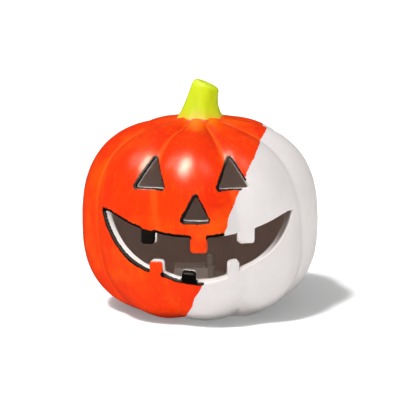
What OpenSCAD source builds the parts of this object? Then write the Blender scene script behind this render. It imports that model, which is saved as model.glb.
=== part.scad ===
// Ceramic pumpkin lantern with a cut-through face and a plug-in battery light.
// Millimetres, +Z up, front towards -Y, origin at the middle of the base on the table.

/* [Ceramic body] */
// Width of the body at its widest ring
body_w = 140; // [120:1:160]
// Height of the widest ring above the table
wide_z = 52; // [46:1:58]
// Height of the shoulder curve above the widest ring
upper_h = 63; // [56:0.5:70]
// Depth of the base curve below the widest ring, cut flat at the table
lower_h = 57; // [54:0.5:62]
// Squareness of the side profile, 2 is an ellipse
profile_power = 2.6; // [2.2:0.1:3]
// Thickness of the ceramic wall
wall = 6; // [5:0.5:7]
// Thickness of the ceramic floor
floor_t = 8; // [7:0.5:9]
// Number of lobes round the body
lobes = 8; // [6:2:10]
// Depth of the grooves between the lobes
groove_d = 4.5; // [3:0.5:6]
// Share of the groove depth that fades out towards the base
base_fade = 0.6; // [0.3:0.1:0.8]
// Radius of the flat foot ring under the body
foot_r = 32; // [30:0.5:34]
// Extra angle by which the front lobes are narrower, in degrees
front_narrow = 4.5; // [0:0.5:6]
// Sideways lean of the lobes, in degrees per millimetre of height
lobe_lean = 0.13; // [0:0.01:0.15]
// Dip of the crown round the stem
crown_dip = 2.5; // [1:0.5:4]
// Rise of the collar close round the foot of the stem
collar_rise = 4.5; // [3:0.5:5.5]

/* [Face] */
// Height of the mouth's centre line
mouth_z = 52; // [48:1:56]
// Half width of the mouth, measured on the face plane
mouth_half_w = 88; // [80:1:92]
// Height of the mouth's corners above its centre line
corner_up = 22.2; // [18:0.2:24]
// Height of the upper lip's middle above the centre line
lip_up = 3.4; // [2:0.2:5]
// Depth of the lower lip's middle below the centre line
lip_down = 23; // [20:0.5:25]
// Roundness of the tooth corners
tooth_round = 1.6; // [0.5:0.1:2]
// Distance from the face's middle to the tip of each eye
eye_x = 23.2; // [21:0.1:24]
// Height of the tips of the eyes
eye_z = 101; // [98:0.5:102]
// Width of each eye at its foot
eye_w = 18.8; // [15:0.1:20]
// Height of each eye
eye_h = 19.2; // [15:0.1:20]
// Height of the tip of the nose
nose_z = 79; // [77:0.5:80]
// Width of the nose at its foot
nose_w = 14.6; // [12:0.2:15]
// Height of the nose
nose_h = 13.8; // [11:0.2:14]

/* [Stem] */
// Height of the top of the stem above the table
stem_top = 137; // [132:0.5:142]
// Radius of the stem's flared foot
stem_foot_r = 14.3; // [13.5:0.1:16]
// Radius of the stem's cut top
stem_tip_r = 7.5; // [6.5:0.1:8.5]
// Sideways bend of the stem at its top
stem_bend = 3.9; // [0:0.1:5]
// Slope of the cut top, rise over run
stem_cut = 0.42; // [0:0.02:0.5]

/* [Plug-in light] */
// Radius of the hole in the ceramic floor
hole_r = 20; // [20:0.5:21]
// Radius of the plug's flange
flange_r = 23; // [22.5:0.5:24]
// Radius of the plug's round tub
tub_r = 17.8; // [17.8:0.1:18]
// Height of the tub's rim
tub_h = 16; // [15.5:0.5:17]
// Width of the raised lamp box on the cover
box_w = 23.4; // [23:0.2:23.4]
// Height of the top of the lamp box above the table
box_top = 23.8; // [23:0.2:26]
// Radius of a button cell
cell_r = 5.8; // [5.7:0.1:5.8]
// Length of a button cell
cell_l = 5.4; // [5.2:0.1:5.4]
// Radius of the lamp's dome
led_r = 2.5; // [1.5:0.5:2.5]

/* [Hidden] */
$fn = 48;
eps = 0.01;
// Flange: flush with the table, in a recess of the ceramic floor
flange_t = 2.6;
recess_gap = 0.6;
tub_wall = 1.4;
deck_t = 1.8;
// Plane on which the mouth is drawn, and the one for the eyes and nose
mouth_plane = 66;
face_back = 70;
face_back_z = 75;
face_plane = 60;
// The face shifts with the lobes: shift of the eyes, nose and mouth
eye_shift = -5;
nose_shift = -2.1;
mouth_shift = -2.8;
// Teeth: middle, width and tip height on the mouth plane
upper_teeth = [[-32.7, 9.4, -1.8], [-0.7, 9.3, -4.9], [28.8, 10.4, -1.4]];
lower_teeth = [[-27.1, 8.6, -12.6], [-6.3, 8.2, -16.8], [20.2, 7.2, -11.6]];
// Cells lie in a row along X, with the flat contact at the -X end
bay_x0 = -12.5;
bay_x1 = 8.8;
plate_t = 0.3;
cell_x0 = bay_x0 + plate_t;
cell_x1 = cell_x0 + 3 * cell_l;
cell_z = flange_t + cell_r;
bay_half_y = 6;
// Lamp box on the cover
box_x1 = 8;
box_x0 = box_x1 - box_w;
box_y0 = -7;
box_y1 = 8.8;
box_wall = 1.1;
led_x = 6.1;
led_y = -3.5;
lead_r = 0.25;
lead_gap = 1.27;
lead_z = 19.2;
board_y = 6.3;
board_t = 1;
// Battery door and its screw, both in the underside
door_z0 = 0.2;
door_t = 1.6;
screw_x = 13.3;
screw_r = 1;
screw_head_r = 1.9;
// Two screws which hold the cover onto the base
cover_screw_at = [[4, -13], [-7.2, 12]];
cover_screw_r = 0.95;
// Slide switch behind the cells
switch_y = 10;
switch_half_x = 4.2;
knob_w = 2;
knob_travel = 2;

// Signed power, for the rounded-square profile
function spow(v, p) = sign(v) * pow(abs(v), p);

// Groove depth factor at an azimuth (0 is the front) and height: 0 on a crest, 1 in a groove
function groove(a, z) =
    let (b = a + lobe_lean * (z - mouth_z),
         c = b + front_narrow * sin(b))
    1 - pow(abs(cos(lobes / 2 * c)), 0.8);

// Profile point at parameter t (-90 base to 90 crown), moved inward by inset
function profile(t, inset) =
    let (h = t > 0 ? upper_h : lower_h, q = 2 / profile_power,
         r = (body_w / 2 - inset) * pow(cos(t), q),
         z = wide_z + (h - inset) * spow(sin(t), q))
    [r, z - (t > 0 ? crown_dip * exp(-pow(r / 30, 2)) - collar_rise * exp(-pow(r / 15, 2)) : 0)];

// Outward direction of the profile at t
function outward(t) =
    let (h = t > 0 ? upper_h : lower_h, q = 2 - 2 / profile_power,
         nr = pow(cos(t), q) / (body_w / 2), nz = spow(sin(t), q) / h,
         l = norm([nr, nz]))
    [nr / l, nz / l];

// Point of the lobed skin
function skin_point(a, t, inset, depth) =
    let (p = profile(t, inset), n = outward(t),
         fade = t < 0 ? 1 - base_fade * pow(sin(t), 2) : 1,
         d = depth * groove(a, p[1]) * fade * min(1, p[0] / 24),
         r = p[0] - d * n[0])
    [r * sin(a), -r * cos(a), p[1] - d * n[1]];

// Parameter at which the profile reaches height z in its lower half
function low_t(z, inset) =
    -asin(pow((wide_z - z) / (lower_h - inset), profile_power / 2));

// Closed lobed solid from a flat foot at height z0 up to the crown
module lobed_solid(z0, inset, depth, around, rows) {
    t0 = low_t(z0, inset);
    // Rows run evenly in t, and the last one stops just short of the crown's middle
    ts = [for (i = [0 : rows - 1]) t0 + (88.5 - t0) * i / (rows - 1)];
    rings = [for (t = ts) for (j = [0 : around - 1]) skin_point(j * 360 / around, t, inset, depth)];
    foot = [for (j = [0 : around - 1]) let (a = j * 360 / around) [foot_r * sin(a), -foot_r * cos(a), z0]];
    crown = profile(90, inset);
    points = concat(foot, rings, [[0, 0, z0], [0, 0, crown[1]]]);
    base = (rows + 1) * around;
    sides = [for (i = [0 : rows - 1]) for (j = [0 : around - 1])
        let (k = (j + 1) % around, a = i * around, b = a + around)
        each [[a + j, b + j, b + k], [a + j, b + k, a + k]]];
    caps = [for (j = [0 : around - 1])
        let (k = (j + 1) % around, b = rows * around)
        each [[j, k, base], [b + k, b + j, base + 1]]];
    polyhedron(points, concat(sides, caps), convexity = 6);
}

// Tooth: rounded bar between heights y0 and y1
module tooth(x, w, y0, y1) {
    offset(r = tooth_round, $fn = 24) offset(delta = -tooth_round)
        translate([x - w / 2, y0]) square([w, y1 - y0]);
}

// Heights of the two lips at a share s of the mouth's half width
function lower_lip(s) = -lip_down + (corner_up + lip_down) * pow(s, 2.12);
function upper_lip(s) = lip_up + (corner_up - lip_up) * (1 - cos(180 * pow(s, 1.25))) / 2;

// Mouth on its plane: a crescent less the teeth
module mouth_outline() {
    n = 40;
    low = [for (i = [-n : n]) [mouth_half_w * i / n, lower_lip(abs(i) / n)]];
    high = [for (i = [1 - n : n - 1]) [-mouth_half_w * i / n, upper_lip(abs(i) / n)]];
    translate([mouth_shift, 0]) difference() {
        polygon(concat(low, high));
        for (t = upper_teeth) tooth(t[0] - mouth_shift, t[1], t[2], corner_up);
        for (t = lower_teeth) tooth(t[0] - mouth_shift, t[1], -lip_down - 8, t[2]);
    }
}

// Rounded triangle with its tip at the origin
module face_triangle(w, h, tip_x) {
    offset(r = 0.6, $fn = 16) offset(delta = -0.6)
        polygon([[0, 0], [tip_x + w / 2, -h], [tip_x - w / 2, -h]]);
}

// Eyes and nose on their plane
module eyes_and_nose() {
    for (s = [-1, 1])
        translate([eye_shift + s * eye_x, eye_z - face_back_z])
            face_triangle(eye_w, eye_h, s * 1.2);
    translate([nose_shift, nose_z - face_back_z]) face_triangle(nose_w, nose_h, 0);
}

// Cone-shaped cut which runs from a point behind the face through a flat outline
module cone_cut(apex_y, apex_z, near, plane, far) {
    translate([0, apex_y - near, apex_z]) rotate([90, 0, 0])
        linear_extrude(height = far - near, scale = far / near)
            scale(near / plane) children();
}

module pumpkin_shell() {
    color("orangered") difference() {
        resize([0, 0, 0]) difference() {
            lobed_solid(0, 0, groove_d, 80, 30);
            lobed_solid(floor_t, wall, groove_d * 0.7, 48, 18);
            cone_cut(0, mouth_z, 10, mouth_plane, 95) mouth_outline();
            cone_cut(face_back, face_back_z, 90, face_back + face_plane, 160) eyes_and_nose();
        }
        translate([0, 0, -1]) cylinder(r = hole_r, h = floor_t + 2, $fn = 96);
        translate([0, 0, -1]) cylinder(r = flange_r + recess_gap, h = flange_t + 1.3, $fn = 96);
    }
}

// Stem radius at height fraction f: flared foot and a stout stalk
function stem_radius(f) = stem_tip_r + 3.8 * (1 - f) + (stem_foot_r - stem_tip_r - 3.8) * pow(1 - f, 4);

module stem() {
    foot_z = 106;
    flare_z = 113.5;
    top_z = stem_top - 1.03 * stem_cut * stem_tip_r;
    around = 32;
    rows = 12;
    rings = [for (i = [0 : rows]) for (j = [0 : around - 1])
        let (f = max(0, (i - 1) / (rows - 1)), a = j * 360 / around,
             ridge = 1 + 0.07 * (1 - 0.6 * f) * cos(lobes * a),
             r = stem_radius(f) * ridge,
             x = stem_bend * pow(f, 1.8) + r * cos(a),
             rise = (top_z - flare_z) * f - stem_cut * pow(f, 3) * r * cos(a),
             z = i == 0 ? foot_z : flare_z + rise)
        [x, r * sin(a), z]];
    last = rows * around;
    points = concat(rings, [[0, 0, foot_z], [stem_bend, 0, top_z + 0.3]]);
    sides = [for (i = [0 : rows - 1]) for (j = [0 : around - 1])
        let (k = (j + 1) % around, a = i * around, b = a + around)
        each [[a + j, b + j, b + k], [a + j, b + k, a + k]]];
    caps = [for (j = [0 : around - 1]) let (k = (j + 1) % around)
        each [[j, k, len(rings)], [last + k, last + j, len(rings) + 1]]];
    color("yellowgreen") resize([0, 0, 0]) difference() {
        polyhedron(points, concat(sides, caps), convexity = 4);
        lobed_solid(0, 0, groove_d, 80, 30);
    }
}

module box(x0, x1, y0, y1, z0, z1) {
    translate([x0, y0, z0]) cube([x1 - x0, y1 - y0, z1 - z0]);
}

// Upright cylinder between two heights
module post(x, y, z0, z1, r) {
    translate([x, y, z0]) cylinder(r = r, h = z1 - z0);
}

// Plan of the battery door: a rounded bar with a lug for the screw
module door_plan(grow) {
    offset(r = 1 + grow) offset(delta = -1)
        translate([bay_x0 - 1, -bay_half_y - 1]) square([bay_x1 - bay_x0 + 2, 2 * bay_half_y + 2]);
    hull() {
        translate([screw_x, 0]) circle(3.2 + grow);
        translate([bay_x1 - 1, 0]) circle(3.2 + grow);
    }
}

module light_base() {
    color("ivory") difference() {
        union() {
            cylinder(r = flange_r, h = flange_t, $fn = 96);
            difference() {
                cylinder(r = tub_r, h = tub_h, $fn = 96);
                translate([0, 0, flange_t - eps]) cylinder(r = tub_r - tub_wall, h = tub_h, $fn = 96);
            }
            // Cradle round the cells
            box(bay_x0 - 1.2, bay_x1 + 1.2, -bay_half_y - 1, -bay_half_y, flange_t - eps, 12);
            box(bay_x0 - 1.2, bay_x0, -bay_half_y - 1, bay_half_y, flange_t - eps, 12);
            box(bay_x1, bay_x1 + 1.2, -bay_half_y - 1, bay_half_y, flange_t - eps, 12);
            box(bay_x0 - 1.2, bay_x1 + 1.2, bay_half_y, board_y + board_t, flange_t - eps, 3.9);
            post(screw_x, 0, flange_t - eps, 9, 2.7);
        }
        // Opening for the cells, and the recess for the door
        box(bay_x0, bay_x1, -bay_half_y, bay_half_y, -1, flange_t + 1);
        translate([0, 0, -1]) linear_extrude(height = 1 + door_z0 + door_t + 0.1) door_plan(0.3);
        post(screw_x, 0, -1, 10, screw_r + 0.05);
        for (p = cover_screw_at) {
            post(p[0], p[1], -1, flange_t + 1, cover_screw_r + 0.1);
            post(p[0], p[1], -1, 1.5, 2.1);
        }
        // Finger pocket and slot of the switch
        box(-4.5, 4.5, switch_y - 2, switch_y + 2, -1, 1.4);
        box(-knob_w / 2 - knob_travel / 2 - 0.3, knob_w / 2 + knob_travel / 2 + 0.3,
            switch_y - 1, switch_y + 1, -1, flange_t + 1);
        // Snap slot at the front of the tub's rim
        box(-0.8, 4.2, -tub_r - 1, -tub_r + tub_wall + 1, tub_h - 1.3, tub_h + 1);
    }
}

module gasket_ring() {
    outer = hole_r - 0.07;
    bead = 0.7;
    color("dimgray") rotate_extrude($fn = 96) difference() {
        union() {
            translate([tub_r + 0.05, 3]) square([outer - bead - tub_r - 0.05, 3.8]);
            for (z = [3 + bead, 6.8 - bead]) translate([outer - bead, z]) circle(bead, $fn = 24);
        }
        translate([0, 0]) square([tub_r + 0.05, 20]);
    }
}

module light_cover() {
    color("ivory") difference() {
        union() {
            translate([0, 0, tub_h]) cylinder(r = tub_r, h = deck_t, $fn = 96);
            // Locating rim inside the tub
            difference() {
                translate([0, 0, tub_h - 1.5]) cylinder(r = tub_r - tub_wall - 0.1, h = 1.6, $fn = 96);
                translate([0, 0, tub_h - 2]) cylinder(r = tub_r - tub_wall - 1.1, h = 3, $fn = 96);
            }
            box(box_x0, box_x1, box_y0, box_y1, tub_h + eps, box_top);
            for (p = cover_screw_at) post(p[0], p[1], flange_t + 0.1, tub_h + 1, 2.1);
        }
        box(box_x0 + box_wall, box_x1 - box_wall, box_y0 + box_wall, box_y1 - box_wall,
            tub_h - 3, box_top - box_wall);
        // Pilot bores of the two screws, and the holes for the lamp's leads
        for (p = cover_screw_at) post(p[0], p[1], 0, 12, cover_screw_r + 0.03);
        for (s = [-1, 1]) post(led_x, led_y + s * lead_gap, box_top - 2, box_top + 1, lead_r + 0.05);
    }
    // Ribs which keep the cells down
    color("ivory") for (x = [-9, 1])
        box(x, x + 1, box_y0 + box_wall - eps, board_y - 0.4, cell_z + cell_r + 0.15, tub_h + deck_t);
}

module led_holder() {
    color("whitesmoke") {
        difference() {
            post(led_x, led_y, box_top, box_top + 1.6, 3.7);
            post(led_x, led_y, box_top - 1, box_top + 2, 2.95);
            // Flat side at the box's edge
            box(box_x1 + 1.2, box_x1 + 5, -10, 5, box_top - 1, box_top + 3);
        }
        // Clip which runs down the front of the box
        box(4.7, box_x1, box_y0 - 0.9, box_y0 - 0.02, tub_h + deck_t + 0.05, box_top + 1.6);
        box(4.7, box_x1, box_y0 - 0.9, led_y - 3.2, box_top + 0.02, box_top + 1.6);
    }
}

module led_lamp() {
    color("white", 0.8) translate([led_x, led_y, box_top]) rotate_extrude() {
        square([2.9, 1]);
        square([led_r, 6.1]);
        intersection() {
            translate([0, 6.1]) circle(led_r);
            square([led_r, 9]);
        }
    }
}

module led_leads() {
    color("silver") for (s = [-1, 1]) {
        y = led_y + s * lead_gap;
        z = lead_z + s * 0.9;
        post(led_x, y, z - lead_r, box_top, lead_r);
        translate([led_x, y, z]) rotate([-90, 0, 0]) cylinder(r = lead_r, h = board_y - y);
    }
}

module circuit_board() {
    color("seagreen") difference() {
        box(-12, 7 - 0.3, board_y, board_y + board_t, 4, box_top - box_wall - 0.2);
        // Holes for the lamp's two leads
        for (s = [-1, 1]) translate([led_x, board_y - 1, lead_z + s * 0.9])
            rotate([-90, 0, 0]) cylinder(r = lead_r + 0.05, h = 3);
    }
}

// Button cell with its narrower negative cap towards +X
module button_cell(i) {
    color("silver") translate([cell_x0 + (i - 1) * cell_l, 0, cell_z]) rotate([0, 90, 0])
        rotate_extrude() union() {
            square([cell_r, cell_l - 0.5]);
            square([cell_r - 1.2, cell_l]);
        }
}

module contact_plate() {
    color("silver") {
        box(bay_x0, bay_x0 + plate_t, -4, 4, 4, 12.6);
        box(bay_x0, bay_x0 + plate_t, 3.9, board_y, 9, 11);
    }
}

// Cone-shaped spring on a small plate, with its narrow end on the last cell
module contact_spring() {
    turns = 3;
    steps = 26;
    sides = 8;
    wire_r = 0.3;
    x0 = bay_x1 - plate_t;
    x1 = cell_x1 + wire_r + 0.02;
    rings = [for (i = [0 : turns * steps])
        let (f = i / (turns * steps), a = 360 * turns * f, r = 4.4 - 2.6 * f,
             x = x0 + (x1 - x0) * f)
        for (j = [0 : sides - 1])
            let (b = 360 * j / sides, q = r + wire_r * cos(b))
            [x + wire_r * sin(b), q * cos(a), cell_z + q * sin(a)]];
    n = len(rings) / sides;
    walls = [for (i = [0 : n - 2]) for (j = [0 : sides - 1])
        let (k = (j + 1) % sides, a = i * sides, b = a + sides)
        each [[a + j, b + k, b + j], [a + j, a + k, b + k]]];
    ends = [[for (j = [0 : sides - 1]) sides - 1 - j], [for (j = [0 : sides - 1]) (n - 1) * sides + j]];
    color("silver") {
        polyhedron(rings, concat(walls, ends), convexity = 6);
        box(bay_x1 - plate_t, bay_x1, -4.9, 4.9, 3.6, 12.6);
        box(bay_x1 - plate_t, bay_x1, 4.8, board_y, 12.4, 12.6);
    }
}

module switch_body() {
    color("gainsboro") difference() {
        box(-switch_half_x, switch_half_x, board_y + board_t, switch_y + 2, flange_t + 0.05, 6.4);
        box(-knob_w / 2 - knob_travel / 2 - 0.3, knob_w / 2 + knob_travel / 2 + 0.3,
            switch_y - 0.9, switch_y + 0.9, 0, 5.2);
    }
}

// The knob is drawn at the OFF end of its travel
module switch_knob() {
    x = -knob_travel / 2;
    color("dimgray") {
        box(x - knob_w / 2, x + knob_w / 2, switch_y - 0.7, switch_y + 0.7, 0.4, 5);
    }
}

module battery_door() {
    color("ivory") difference() {
        union() {
            translate([0, 0, door_z0]) linear_extrude(height = door_t) door_plan(0);
            for (x = [-9, 0]) box(x, x + 1, -5, 5, door_z0 + door_t - eps, flange_t - 0.1);
        }
        post(screw_x, 0, -1, 5, screw_r + 0.1);
        post(screw_x, 0, -1, 1.1, screw_head_r + 0.3);
        // Finger groove across the door
        translate([-6, -4, door_z0 - 0.4]) rotate([-90, 0, 0]) cylinder(r = 0.8, h = 8);
    }
}

// Screw with a cross slot in its head
module small_screw(x, y, z0, head_h, head_r, z1, r) {
    difference() {
        union() {
            post(x, y, z0, z0 + head_h, head_r);
            post(x, y, z0 + head_h - eps, z1, r);
        }
        for (a = [0, 90]) translate([x, y, z0]) rotate([0, 0, a]) cube([2.2, 0.45, 0.9], center = true);
    }
}

module door_screw() {
    color("silver") small_screw(screw_x, 0, 0.3, 0.78, screw_head_r, 8, screw_r);
}

module cover_screws() {
    color("silver") for (p = cover_screw_at)
        small_screw(p[0], p[1], 0.3, 1.15, 1.8, 11, cover_screw_r);
}

pumpkin_shell();
stem();
light_base();
gasket_ring();
light_cover();
led_holder();
led_lamp();
led_leads();
circuit_board();
button_cell(1);  // button_cell_1
button_cell(2);  // button_cell_2
button_cell(3);  // button_cell_3
contact_plate();
contact_spring();
switch_body();
switch_knob();
battery_door();
door_screw();
cover_screws();
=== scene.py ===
"""Half-painted ceramic pumpkin lantern over its plug-in light.

The shape formulas work in millimetres. Meshes, materials, lamps and camera are in metres.
"""
import math

import bmesh
import bpy
import numpy as np
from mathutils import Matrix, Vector
from mathutils.geometry import delaunay_2d_cdt


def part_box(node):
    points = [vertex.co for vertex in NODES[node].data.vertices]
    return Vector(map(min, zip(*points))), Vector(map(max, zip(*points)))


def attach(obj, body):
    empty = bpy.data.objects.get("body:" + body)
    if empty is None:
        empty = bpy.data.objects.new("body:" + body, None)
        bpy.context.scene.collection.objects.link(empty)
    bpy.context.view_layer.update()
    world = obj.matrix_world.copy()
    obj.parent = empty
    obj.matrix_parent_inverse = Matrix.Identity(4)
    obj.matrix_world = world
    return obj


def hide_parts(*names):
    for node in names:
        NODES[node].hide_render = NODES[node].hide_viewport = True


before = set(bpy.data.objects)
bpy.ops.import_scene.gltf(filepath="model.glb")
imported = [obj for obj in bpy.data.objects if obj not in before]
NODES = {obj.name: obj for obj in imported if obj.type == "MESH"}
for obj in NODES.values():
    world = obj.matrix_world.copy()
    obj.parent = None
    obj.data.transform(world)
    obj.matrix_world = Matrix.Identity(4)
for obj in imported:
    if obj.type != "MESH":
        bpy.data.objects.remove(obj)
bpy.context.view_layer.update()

MM = 0.001

# ---------------------------------------------------------------- ceramic body, in millimetres
SHELL_LOW, SHELL_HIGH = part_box("pumpkin_shell")
BODY_R = (SHELL_HIGH[1] - SHELL_LOW[1]) / MM / 2
# Upright section: a superellipse about the widest height, with its own height above and below
WIDE_Z = 52.0
UPPER_H = 63.0
LOWER_H = 57.0
POWER = 2.6
WALL = 6.0
FLOOR_T = 8.0
# Lobes: grooves that fade towards the base and the stem, closer together at the front, leaning sideways
LOBES = 8
GROOVE_D = 4.5
INNER_GROOVE_D = 3.15
GROOVE_SOFT = 0.008
GROOVE_POWER = 0.4
GROOVE_FULL_R = 24.0
BASE_FADE = 0.6
FRONT_NARROW = math.radians(4.5)
LOBE_LEAN = math.radians(0.13)
# Crown: a wide dip with a collar round the stem
CROWN_DIP, CROWN_DIP_R = 2.5, 30.0
COLLAR_RISE, COLLAR_R = 4.5, 15.0
# Underside: flat foot, and the stepped hole for the light
FOOT_R = 32.0
HOLE_R = 20.0
RECESS_R = 23.6
RECESS_Z = 2.9
MOUTH_Z = 52.0

# ---------------------------------------------------------------- face, on its two drawing planes
MOUTH_PLANE = 66.0
MOUTH_HALF_W = 88.0
CORNER_UP = 22.2
LIP_UP = 3.4
LIP_DOWN = 23.0
LOWER_LIP_POWER = 2.12
UPPER_LIP_POWER = 1.25
MOUTH_SHIFT = -2.8
# Teeth: middle, width, tip height, and what is painted on them
UPPER_TEETH = [(-32.7, 9.4, -1.8, "black"), (-0.7, 9.3, -4.9, "orange"), (28.8, 10.4, -1.4, "bare")]
LOWER_TEETH = [(-27.1, 8.6, -12.6, "orange"), (-6.3, 8.2, -16.8, "black"), (20.2, 7.2, -11.6, "bare")]
TOOTH_TIP_R, TOOTH_ROOT_R = 2.2, 0.7
# The eyes and the nose are drawn on a plane in front, and cut towards a point behind
FACE_BACK = 70.0
FACE_BACK_Z = 75.0
FACE_PLANE = 60.0
EYE_SHIFT = -5.0
EYE_X, EYE_Z, EYE_W, EYE_H, EYE_SKEW = 23.2, 101.0, 18.8, 19.2, 1.2
NOSE_SHIFT, NOSE_Z, NOSE_W, NOSE_H = -2.1, 79.0, 14.6, 13.8
TRIANGLE_CORNER_R = 0.9
# Where along its rays each kind of hole leaves the wall, as multiples of the distance to the plane
MOUTH_RAYS = (0.35, 1.6)
FACE_RAYS = (0.6, 1.3)
RIM_R = 0.9
RIM_ANGLES = (22.5, 45, 67.5, 90)

# ---------------------------------------------------------------- paint, in millimetres
# Edge of the orange: sideways at the base, per millimetre of height, and its bow above a height
EDGE_AT_BASE, EDGE_SLOPE = -10.0, 0.4
EDGE_BOW, EDGE_BOW_Z = 0.006, 80.0
# Brushed outline: width, how much thinner on the right of a hole and wider above it, and how far it
# runs on past the orange
INK_WIDTH, INK_SIDEWAYS, INK_ABOVE = 1.42, 0.55, 0.3
INK_PAST_EDGE = 0.7
# How deep into the mouth, the eyes and over the lower tooth the black was brushed
INK_REACH = 1.8
EYE_REACH = 2.7
TOOTH_REACH = 4.3
# Where these apply: the part of the surface that can hold ink, the eyes and nose, and the lower tooth
INK_ZONE_Y, INK_ZONE_LOW, INK_ZONE_HIGH = -15.0, 15.0, 108.0
EYE_ZONE_Z, EYE_ZONE_X, EYE_ZONE_HALF_W = 61.0, -3.0, 40.0
LOW_TOOTH_Z, LOW_TOOTH_HALF_H = MOUTH_Z - 18.0, 8.0
# How far past a black tooth's side, tip and root its ink runs
TOOTH_SIDE_INK, TOOTH_TIP_INK, TOOTH_ROOT_INK = 1.0, 2.5, 0.8
BLACK_TEETH_Y = -20.0
# Values for places with no ink near, and the depth given to the underside, beyond the brush's reach
NO_INK, NO_TOOTH = -9.0, -50.0
UNDERSIDE_DEPTH = 3.0

# ---------------------------------------------------------------- mesh density
COLUMNS = 480
OUTER_STEP = 0.95
INNER_STEP = 1.9
LOOP_STEP = 0.65
LIP_STEP = 1.6
ARC_POINTS = 7
WALL_SHARES = (0.25, 0.5, 0.75)
# How finely the surface is tabulated, and how many rounds find a point on it or along a ray
PROFILE_STEPS = 6000
LOCATE_ROUNDS = 4
HALVINGS = 40
# The part of the surface that is triangulated round the holes: half its angle, lowest and highest height
PATCH_HALF = math.radians(69)
PATCH_LOW, PATCH_HIGH = 14.0, 104.0


def signed_power(value, power):
    return np.sign(value) * np.abs(value) ** power


def crown_drop(r):
    """How far the crown lies below the plain profile, at each radius."""
    return CROWN_DIP * np.exp(-((r / CROWN_DIP_R) ** 2)) - COLLAR_RISE * np.exp(-((r / COLLAR_R) ** 2))


def profile(t, inset):
    """Radius and height of the ungrooved profile at parameter t (radians, -pi/2 base to pi/2 crown)."""
    h = np.where(t > 0, UPPER_H, LOWER_H) - inset
    r = (BODY_R - inset) * np.clip(np.cos(t), 0, 1) ** (2 / POWER)
    z = WIDE_Z + h * signed_power(np.sin(t), 2 / POWER)
    return r, z - np.where(t > 0, crown_drop(r), 0)


def outward(t):
    """Outward direction of the profile at t."""
    q = 2 - 2 / POWER
    nr = np.clip(np.cos(t), 0, 1) ** q / BODY_R
    nz = signed_power(np.sin(t), q) / np.where(t > 0, UPPER_H, LOWER_H)
    length = np.hypot(nr, nz)
    return nr / length, nz / length


def groove(az, z):
    """0 on the crest of a lobe and 1 in the groove between two."""
    b = az + LOBE_LEAN * (z - MOUTH_Z)
    c = b + FRONT_NARROW * np.sin(b)
    return 1 - ((np.cos(LOBES / 2 * c) ** 2 + GROOVE_SOFT) / (1 + GROOVE_SOFT)) ** GROOVE_POWER


def groove_depth(az, t, r, z, depth):
    """How far the surface lies inside the plain profile."""
    fade = np.where(t < 0, 1 - BASE_FADE * np.sin(t) ** 2, 1)
    return depth * groove(az, z) * fade * np.minimum(1, r / GROOVE_FULL_R)


class Skin:
    """One surface of the ceramic wall, with coordinates (u, v): millimetres round it and up it."""

    def __init__(self, inset, depth, low_z):
        self.inset = inset
        self.depth = depth
        share = (WIDE_Z - low_z) / (LOWER_H - inset)
        low_t = -math.asin(share ** (POWER / 2))
        self.t_table = np.linspace(low_t, math.pi / 2, PROFILE_STEPS)
        r, z = profile(self.t_table, inset)
        steps = np.hypot(np.diff(r), np.diff(z))
        self.v_table = np.concatenate([[0], np.cumsum(steps)])
        self.length = self.v_table[-1]
        self.u_scale = BODY_R - inset

    def points(self, u, v):
        """Positions in millimetres of points (u, v) on the lobed surface."""
        az = u / self.u_scale
        t = np.interp(v, self.v_table, self.t_table)
        r, z = profile(t, self.inset)
        nr, nz = outward(t)
        d = groove_depth(az, t, r, z, self.depth)
        r = r - d * nr
        return np.stack([r * np.sin(az), -r * np.cos(az), z - d * nz], -1)

    def locate(self, p):
        """(u, v, level) of positions p, found in a few rounds. Level is above 0 outside the surface."""
        az = np.arctan2(p[:, 0], -p[:, 1])
        radius = np.hypot(p[:, 0], p[:, 1])
        r, z = radius.copy(), p[:, 2].copy()
        for _ in range(LOCATE_ROUNDS):
            flat_z = z + np.where(z > WIDE_Z, crown_drop(r), 0) - WIDE_Z
            h = np.where(flat_z > 0, UPPER_H, LOWER_H) - self.inset
            a = np.abs(flat_z / h) ** (POWER / 2)
            b = (r / (BODY_R - self.inset)) ** (POWER / 2)
            t = np.sign(flat_z) * np.arctan2(a, b)
            nr, nz = outward(t)
            d = groove_depth(az, t, r, z, self.depth)
            r, z = radius + d * nr, p[:, 2] + d * nz
        return az * self.u_scale, np.interp(t, self.t_table, self.v_table), a * a + b * b - 1

    def along_rays(self, apex, ends, near, far):
        """(u, v) where the rays from apex through ends leave the surface, by halving near to far."""
        low, high = np.full(len(ends), near), np.full(len(ends), far)
        for _ in range(HALVINGS):
            middle = (low + high) / 2
            outside = self.locate(apex + (ends - apex) * middle[:, None])[2] > 0
            high = np.where(outside, middle, high)
            low = np.where(outside, low, middle)
        u, v, _ = self.locate(apex + (ends - apex) * low[:, None])
        return np.stack([u, v], -1)


OUTER = Skin(0, GROOVE_D, 0)
INNER = Skin(WALL, INNER_GROOVE_D, FLOOR_T)


# ---------------------------------------------------------------- outlines of the face
def lower_lip(x):
    """Height of the lower lip on the mouth plane."""
    share = np.clip(np.abs(x - MOUTH_SHIFT) / MOUTH_HALF_W, 0, 1)
    return -LIP_DOWN + (CORNER_UP + LIP_DOWN) * share ** LOWER_LIP_POWER


def upper_lip(x):
    """Height of the upper lip on the mouth plane."""
    share = np.clip(np.abs(x - MOUTH_SHIFT) / MOUTH_HALF_W, 0, 1)
    return LIP_UP + (CORNER_UP - LIP_UP) * (1 - np.cos(math.pi * share ** UPPER_LIP_POWER)) / 2


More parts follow.
